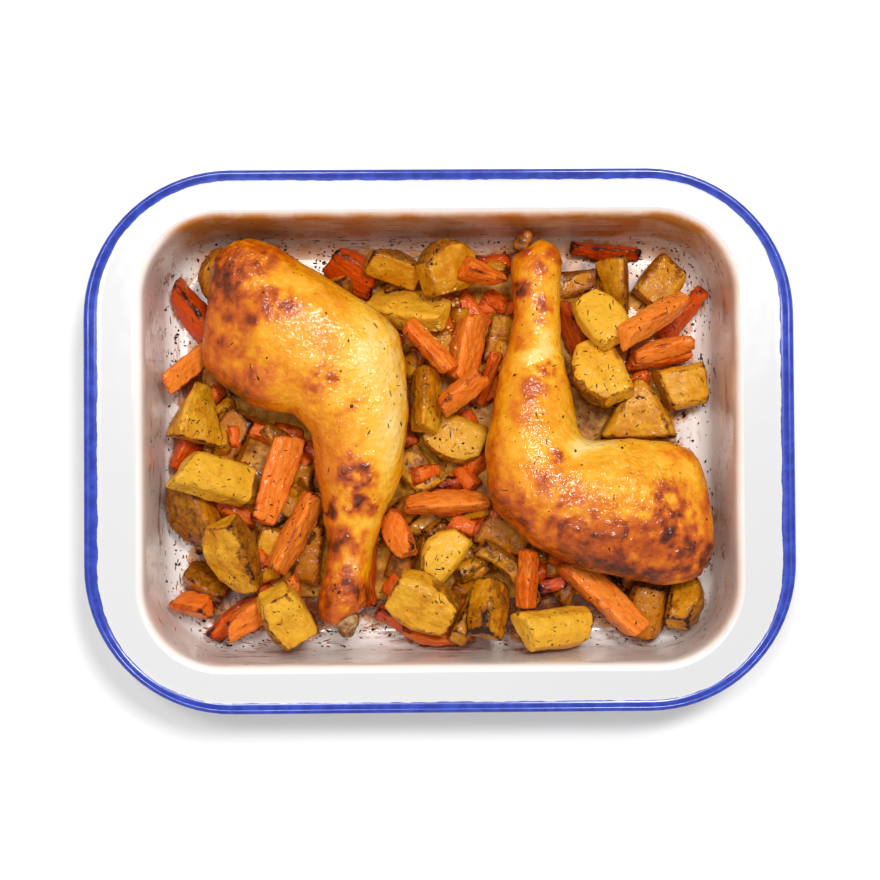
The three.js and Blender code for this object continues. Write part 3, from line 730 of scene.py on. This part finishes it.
def build_heap():
    """The low pieces, over a core of juice that is lower than the CAD heap."""
    verts, faces = node_arrays("vegetable_heap")
    tree = BVHTree.FromPolygons(verts.tolist(), faces)
    top = verts[:, 2].max()
    floor = SHEET + 0.3
    core_verts = verts.copy()
    core_verts[:, 2] = floor + (verts[:, 2] - floor) * CORE_SHARE
    core = mesh_object("juice_core", core_verts, faces, JUICE)
    remeshed(core, CORE_VOXEL, 3)
    p = coords(core)
    set_coords(core, p + normals(core) * (0.5 * noise(p, 5, 3))[:, None])
    pieces = list(LOW_PIECES)
    while len(pieces) < len(LOW_PIECES) + FILLERS:
        x, y = rng.uniform(-128, 128), rng.uniform(-96, 96)
        kind = "potato" if rng.random() < 0.6 else "carrot"
        length, width = rng.uniform(12, 20), rng.uniform(8, 12)
        turn = rng.uniform(0, 180)
        filler = (kind, x, y, turn, length, width, FILLER_HEIGHT, FILLER_TONE, FILLER_CHAR)
        pieces.append(filler)
    made = {"potato": [], "carrot": []}
    for number, (kind, x, y, turn, length, width, height, tone, char) in enumerate(pieces):
        drawn = number < len(LOW_PIECES)
        if drawn:
            y += HEAP_SHIFT
            length, width = length * LOW_LENGTHEN, width * LOW_WIDEN
            tone, char = min(tone + LOW_LIGHTEN, 0.4), char - LOW_LESS_CHAR
        hit = tree.ray_cast((x, y, top + 5), (0, 0, -1))[0]
        if hit is None:
            continue
        tilt = rng.uniform(-9, 9, 2) if drawn else rng.uniform(-30, 30, 2)
        verts, faces = chunk(length, width, height, kind, turn, tilt, 100 + number)
        middle = hit[2] - height * (0.5 if drawn else 0.25)
        verts = verts + (x, y, max(middle, floor - verts[:, 2].min()))
        material = POTATO if kind == "potato" else CARROT
        obj = mesh_object(f"low_{kind}_{number:02d}", verts, faces, material)
        links = remeshed(obj, LOW_VOXEL, 2)
        facing = (rng.uniform(-1, 1), rng.uniform(-1, 1), 0.2, 0.8)
        skin = facing if kind == "potato" and rng.random() < 0.5 else None
        roast(obj, links, kind, 300 + number, tone, char, skin)
        made[kind].append(obj)
    joined = [core]
    for kind, group in made.items():
        with bpy.context.temp_override(
            active_object=group[0], selected_editable_objects=group, selected_objects=group
        ):
            bpy.ops.object.join()
        group[0].name = "low_" + kind + "_pieces"
        joined.append(group[0])
    for obj in joined:
        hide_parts("vegetable_heap")
    return joined


# ------------------------------------------------------ herbs and crumbs


def tree_of(objects):
    """One search tree over the surfaces of several objects, in mm."""
    verts, faces, base = [], [], 0
    for obj in objects:
        p = coords(obj)
        verts.append(p)
        faces += [[base + i for i in f.vertices] for f in obj.data.polygons]
        base += len(p)
    return BVHTree.FromPolygons(np.concatenate(verts).tolist(), faces)


def spindle(length, width, thick, bend):
    """A small leaf or stalk along X: four rings of four, and two tips."""
    rings = [(-0.36, 0.75), (-0.1, 1.0), (0.15, 0.9), (0.38, 0.6)]
    verts, faces = [(-length / 2, 0, 0)], []
    for t, wide in rings:
        rise = bend * (0.25 - t * t)
        for dy, dz in ((0.5, 0), (0, 0.5), (-0.5, 0), (0, -0.5)):
            verts.append((t * length, dy * width * wide + rise * 0.6, dz * thick + rise))
    verts.append((length / 2, 0, 0))
    for i in range(4):
        j = (i + 1) % 4
        faces.append((0, 1 + i, 1 + j))
        faces += [
            (1 + 4 * k + i, 5 + 4 * k + i, 5 + 4 * k + j, 1 + 4 * k + j) for k in range(3)
        ]
        faces.append((13 + i, 17, 13 + j))
    return np.array(verts), faces


def grain(size, shape=(1, 1, 1)):
    """An uneven speck: a flattened octahedron."""
    verts = np.array([(1, 0, 0), (-1, 0, 0), (0, 1, 0), (0, -1, 0), (0, 0, 0.7), (0, 0, -0.7)])
    verts = verts * size / 2 * rng.uniform(0.6, 1.2, (6, 1)) * shape
    faces = [(0, 2, 4), (2, 1, 4), (1, 3, 4), (3, 0, 4), (2, 0, 5), (1, 2, 5), (3, 1, 5), (0, 3, 5)]
    return verts, faces


def scatter(tree, count, spots, shape, sink, turn_from=None, steep=0.25, highest=100):
    """Places shapes on what the tree's surface shows from above, up to a height."""
    placed = []
    for _ in range(count):
        x, y = spots()
        hit, normal, _, _ = tree.ray_cast((x, y, 100), (0, 0, -1))
        if hit is None or normal.z < steep or hit.z > highest:
            continue
        v, f = shape()
        angle = rng.uniform(0, 2 * math.pi) if turn_from is None else turn_from(x, y)
        up = Vector((0, 0, 1)).rotation_difference(normal).to_matrix()
        turn = up @ Matrix.Rotation(angle, 3, "Z")
        placed.append((v @ np.array(turn).T + np.array(hit) + np.array(normal) * sink, f))
    return placed


def scattered(name, material, placed):
    """All the scattered shapes of one kind as one object."""
    verts, faces, base = [], [], 0
    for v, f in placed:
        verts.append(v)
        faces += [[base + i for i in face] for face in f]
        base += len(v)
    obj = mesh_object(name, np.concatenate(verts), faces, material)
    return obj


def clustered(half_x, half_y, centres, share, spread):
    """A way of drawing places: partly even, partly round a few centres."""

    def spots():
        if rng.random() < share:
            cx, cy = centres[rng.integers(len(centres))]
            return cx + rng.normal(0, spread), cy + rng.normal(0, spread)
        return rng.uniform(-half_x, half_x), rng.uniform(-half_y, half_y) - 4

    return spots


def footprint(tree, cell=2.0):
    """A grid over the dish, 1 where food is seen from above and fading out over 15 mm."""
    nx, ny = int(2 * MOUTH[0] / cell), int(2 * MOUTH[1] / cell)
    grid = np.zeros((ny, nx))
    for row in range(ny):
        for column in range(nx):
            spot = ((column + 0.5) * cell - MOUTH[0], (row + 0.5) * cell - MOUTH[1], 100)
            grid[row, column] = tree.ray_cast(spot, (0, 0, -1))[0] is not None
    for _ in range(12):
        grid = sum(np.roll(grid, (a, b), (0, 1)) for a in (-1, 0, 1) for b in (-1, 0, 1)) / 9
    return lambda x, y: grid[
        np.clip(((np.asarray(y) + MOUTH[1]) / cell).astype(int), 0, ny - 1),
        np.clip(((np.asarray(x) + MOUTH[0]) / cell).astype(int), 0, nx - 1),
    ]


def build_garnish(legs, vegetables, dish):
    food = legs + vegetables
    near = footprint(tree_of(food))
    p = coords(dish)
    inside = (normals(dish)[:, 2] > 0.2) & (p[:, 2] < 30)
    attribute(dish, "stain", inside * smoothstep(0.05, 0.75, near(p[:, 0], p[:, 1])) * 1.15)
    floor_tree = tree_of([dish])
    food_tree = tree_of(food)
    beds = [(108, 20), (84, 34), (75, 82), (118, 84), (-120, -21), (-110, -62), (70, 12)]
    beds += [(8, -2), (-18, 71), (4, -60), (60, -98), (-133, 16), (112, -92), (88, 62)]
    beds += [(-85, -35), (20, -80), (-10, 20), (-75, -88)]

    def around_food():
        for _ in range(60):
            x, y = rng.uniform(-154, 154), rng.uniform(-117, 117)
            if 0.04 < near(x, y) < 0.6:
                break
        return x, y

    def leaf():
        size = rng.uniform(1.6, 4.4)
        return spindle(size, rng.uniform(0.35, 0.75), 0.35, rng.uniform(-1, 1))

    def speck():
        return grain(rng.uniform(0.4, 1.0))

    def crumb():
        return grain(min(0.6 + rng.exponential(0.5), 2), (1.7, 1, 0.8))

    def fleck():
        return spindle(min(1 + rng.exponential(1.3), 6), rng.uniform(0.4, 1.1), 0.15, 0)

    def smear():
        return spindle(min(2 + rng.exponential(2.5), 9), rng.uniform(0.5, 1.2), 0.08, 0)

    def swept(x, y):
        return rng.normal(0, 0.3) + (math.pi / 2 if abs(x) > abs(y) + 32 else 0)

    def mash():
        return grain(rng.uniform(0.8, 3), (1.4, 1, 0.5))

    def on_walls(count, centres, spread, shape):
        spots = clustered(150, 116, centres, 1, spread)
        return scatter(floor_tree, count, spots, shape, 0, swept, 0.05, WALL_TOP)

    over_beds = clustered(148, 110, beds, 0.5, 12)
    far_wall = [(-115, 112), (-92, 116), (-60, 113), (-30, 112), (10, 113)]
    right_wall = [(140, 96), (148, 70), (146, 30), (130, 108), (-146, 60)]
    near_corner = [(-100, -109), (-78, -110), (-122, -106), (-143, -62)]
    near_wall = [(-143, -90), (-30, -108), (30, -112), (148, -40)]
    flakes = clustered(150, 116, [(6, 77), (3, 63), (0, 57), (118, 27)], 1, 3.5)
    thyme = scatter(tree_of(vegetables), 520, over_beds, leaf, 0.1)
    thyme += scatter(tree_of(legs), 70, over_beds, leaf, 0.1)
    pepper = scatter(food_tree, 800, over_beds, speck, 0.1)
    crumbs = scatter(floor_tree, 650, around_food, crumb, 0.15, highest=WALL_TOP)
    crumbs += scatter(food_tree, 260, over_beds, crumb, 0.15)
    flecks = on_walls(260, far_wall, 11, fleck) + on_walls(220, right_wall, 12, fleck)
    smears = on_walls(150, near_corner, 10, smear) + on_walls(60, near_wall, 12, smear)
    return [
        scattered("thyme", THYME, thyme),
        scattered("pepper", PEPPER, pepper),
        scattered("crumbs", CRUMB, crumbs),
        scattered("flecks", CRUMB, flecks),
        scattered("smears", SMEAR, smears),
        scattered("mash", MASH, scatter(food_tree, 70, flakes, mash, 0.2)),
    ]


# ------------------------------------------------------------- the chicken


SOFT_TOP = 2  # the skin is pressed down gently over this height under the part's top
LEG_VOXEL, LEG_QUICK_VOXEL = 1.1, 1.8
KNUCKLE_VOXEL = 0.6
BASE_ROAST = 0.27
BROWN, CHARRED_PACE, DARKEST = 0.58, 0.42, 0.88  # past brown, roasting goes at this pace


def build_leg(side):
    verts, faces = node_arrays(side + "_leg")
    obj = mesh_object("roast_leg_" + side, verts, faces, SKIN)
    remeshed(obj, LEG_VOXEL, 30)
    verts = coords(obj)
    n = normals(obj)
    flat = verts[:, :2] - (0, HEAP_SHIFT)
    crinkled = np.full(len(verts), 0.55)
    for x, y, rx, ry, amount in CRINKLES[side]:
        d = np.hypot((flat[:, 0] - x) / rx, (flat[:, 1] - y) / ry)
        crinkled = np.maximum(crinkled, amount * smoothstep(1.2, 0.4, d))
    swell = 0.9 * noise(verts, 26, 11) + 0.55 * noise(verts, 11, 12)
    bent = verts + 4 * np.column_stack([noise(verts, 13, k) for k in (4, 5, 6)])
    ridged = 1 - 2 * np.abs(noise(bent, 6.5, 13))
    fine = 1 - 2 * np.abs(noise(bent, 3.1, 15))
    wrinkle = crinkled * (0.26 * ridged + 0.24 * fine) + 0.1 * noise(verts, 2.2, 14)
    blister = np.maximum(noise(verts, 3.4, 16) - 0.3, 0) * 1.3
    warp = np.column_stack([fractal(verts, 12, 31), fractal(verts, 12, 41)]) * 5
    roast_shade_and_sheen = BASE_ROAST + 0.1 * fractal(verts, 30, 51)
    for x, y, rx, ry, amount in ROAST_AND_SHEEN_PATCHES[side]:
        d = np.hypot((flat[:, 0] + warp[:, 0] - x) / rx, (flat[:, 1] + warp[:, 1] - y) / ry)
        w = smoothstep(1.3, 0.25, d)
        if amount > 0.4:
            w = w * np.clip(0.78 + 1.25 * fractal(verts, 4.2, 61), 0.15, 1.5)
        elif amount > 0:
            w = w * np.clip(0.9 + 1.0 * fractal(verts, 6, 71), 0.25, 1.5)
        roast_shade_and_sheen = roast_shade_and_sheen + amount * w
    roast_shade_and_sheen = np.where(roast_shade_and_sheen > BROWN, BROWN + (roast_shade_and_sheen - BROWN) * CHARRED_PACE, roast_shade_and_sheen)
    rough = smoothstep(0.4, 0.7, roast_shade_and_sheen)
    raised = verts + n * (swell + wrinkle + blister * (0.25 + rough))[:, None]
    over = np.maximum(raised[:, 2] - (cad_box[1][2] / MM - SOFT_TOP), 0)
    raised[:, 2] += SOFT_TOP * over / (over + SOFT_TOP) - over
    set_coords(obj, raised)
    # Painted shade: skin facing down, and skin turned from the light towards the left and the near side,
    # is given a browner roast colour.
    low = smoothstep(0.3, -0.4, n[:, 2])
    away_from_light_shade = smoothstep(0.1, 0.85, -0.75 * n[:, 0] - 0.5 * n[:, 1])
    roast_shade_and_sheen += 0.3 * low + 0.26 * away_from_light_shade + 0.05 * crinkled * ridged + 0.12 * rough * (blister > 0.05)
    attribute(obj, "roast", np.clip(roast_shade_and_sheen, 0, DARKEST))
    attribute(obj, "crinkle", crinkled)
    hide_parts(side + "_leg")
    return obj


# Where the skin is most wrinkled: x, y, radii and how much.
CRINKLES = {
    "left": [(-40, 35, 26, 40, 1.1), (-104, 92, 20, 18, 1.5), (-48, -80, 14, 20, 1.2)],
    "right": [(102, -30, 34, 24, 1.7), (50, 88, 12, 18, 1.0), (52, 36, 12, 22, 0.9)],
}
# Patches on the skin: x, y, their radii, and how much more or less roast they give. Those above zero are
# real browning; those below zero are painted sheen, pale skin colour laid where highlights fall.
ROAST_AND_SHEEN_PATCHES = {
    "left": [
        (-102, 92, 24, 18, 0.3),
        (-117, 90, 7, 12, 0.14),
        (-112, 76, 8, 16, 0.08),
        (-85, 97, 14, 7, 0.32),
        (-97, 83, 9, 8, -0.15),
        (-108, 62, 24, 42, 0.24),
        (-84, 70, 13, 8, 0.5),
        (-93, 61, 8, 5, 0.32),
        (-78, 77, 13, 9, -0.1),
        (-90, 30, 24, 12, 0.12),
        (-102, 22, 12, 8, 0.15),
        (-62, 30, 9, 9, 0.42),
        (-48, 14, 5, 5, 0.28),
        (-34, 36, 20, 36, -0.2),
        (-26, 0, 10, 30, -0.18),
        (-44, -20, 13, 14, 0.62),
        (-40, -34, 9, 9, 0.66),
        (-57, -36, 5, 8, 0.62),
        (-50, -55, 16, 10, 0.34),
        (-50, -82, 19, 26, 0.4),
        (-50, -88, 15, 16, 0.14),
        (-42, -80, 5, 8, 0.3),
        (-70, -2, 6, 14, -0.1),
    ],
    "right": [
        (53, 92, 12, 16, 0.1),
        (62, 97, 5, 6, 0.3),
        (44, 100, 6, 8, 0.35),
        (47, 78, 6, 6, 0.6),
        (57, 69, 5, 6, 0.45),
        (55, 60, 5, 5, 0.3),
        (55, 90, 4, 5, 0.35),
        (54, 40, 9, 17, -0.22),
        (57, 37, 5, 7, 0.8),
        (46, 50, 6, 5, 0.3),
        (42, 16, 8, 9, 0.18),
        (56, -36, 32, 22, 0.3),
        (28, -18, 9, 26, 0.14),
        (94, -58, 44, 22, 0.34),
        (50, 24, 9, 8, 0.2),
        (80, -5, 20, 6, -0.25),
        (62, -8, 4, 4, 0.45),
        (60, -13, 3, 3, 0.35),
        (118, -38, 18, 16, 0.42),
        (104, -50, 14, 10, 0.36),
        (125, -52, 12, 10, 0.44),
        (134, -66, 14, 10, 0.72),
        (117, -57, 5, 4, 0.45),
        (140, -58, 6, 10, 0.3),
        (105, -74, 28, 7, 0.55),
        (80, -66, 14, 6, 0.2),
        (142, -30, 7, 26, 0.25),
        (128, -8, 14, 6, 0.26),
    ],
}


def build_knuckle(side):
    verts, faces = node_arrays(side + "_knuckle")
    obj = mesh_object("bone_end_" + side, verts, faces, GRISTLE if side == "left" else TENDON)
    remeshed(obj, KNUCKLE_VOXEL, 5)
    verts = coords(obj)
    set_coords(obj, verts + normals(obj) * (0.5 * noise(verts, 3, 5))[:, None])
    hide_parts(side + "_knuckle")
    return obj


# ------------------------------------------------------------ camera, light


def build_stage():
    floor_material = plain_material("pale_floor", (250, 250, 250), (248, 248, 249), 400, 0.7, 0.0)
    size = 3000
    floor = mesh_object(
        "floor",
        [(-size, -size, -0.2), (size, -size, -0.2), (size, size, -0.2), (-size, size, -0.2)],
        [(0, 1, 2, 3)],
        floor_material,
        smooth=False,
    )
    for name, place, size, energy in (
        ("overhead", (0.36, 0.5, 1.88), 0.3, 17),
        ("second", (-0.22, 0.36, 1.9), 0.26, 8),
        ("fill", (-0.5, -0.4, 1.8), 1.2, 3),
    ):
        light = bpy.data.lights.new(name, "AREA")
        light.size = size
        light.energy = energy
        lamp = bpy.data.objects.new(name, light)
        lamp.location = place
        aim = Vector((0, 0, 0.03)) - Vector(place)
        lamp.rotation_euler = aim.to_track_quat("-Z", "Y").to_euler()
        bpy.context.scene.collection.objects.link(lamp)
    world = bpy.data.worlds.new("studio")
    world.use_nodes = True
    world.node_tree.nodes["Background"].inputs["Color"].default_value = (1, 1, 1, 1)
    world.node_tree.nodes["Background"].inputs["Strength"].default_value = 0.47
    bpy.context.scene.world = world
    bpy.context.scene.view_settings.view_transform = "Standard"


def build_camera():
    data = bpy.data.cameras.new("camera")
    data.lens = 70.9
    data.sensor_width = 36
    camera = bpy.data.objects.new("camera", data)
    camera.location = Vector((-10, -20, 958)) * MM
    aim = (Vector((0, 0, 58)) * MM - camera.location).normalized()
    right = aim.cross(Vector((0, 1, 0))).normalized()
    up = right.cross(aim)
    turn = Matrix((right, up, -aim)).transposed()
    roll = Matrix.Rotation(math.radians(0.4), 3, aim)
    camera.rotation_euler = (roll @ turn).to_euler()
    bpy.context.scene.collection.objects.link(camera)
    bpy.context.scene.camera = camera


# -------------------------------------------------------------- everything

build_camera()
build_stage()
made = [build_dish()]
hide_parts("dish")
for side in ("left", "right"):
    made.append(build_leg(side))
    made.append(build_knuckle(side))
for number, node in enumerate(sorted(NODES)):
    if node.startswith(("potato_", "carrot_")):
        made.append(build_vegetable(node, number))

made += build_heap()
made += build_garnish(made[1:5], made[5:], made[0])

# Every piece is clipped to the CAD box, so that nothing stands past it, not even by rounding.
lowest, highest = (np.array([*corner]) / MM for corner in cad_box)
for piece in made:
    set_coords(piece, np.clip(coords(piece), lowest, highest))
    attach(piece, "root")
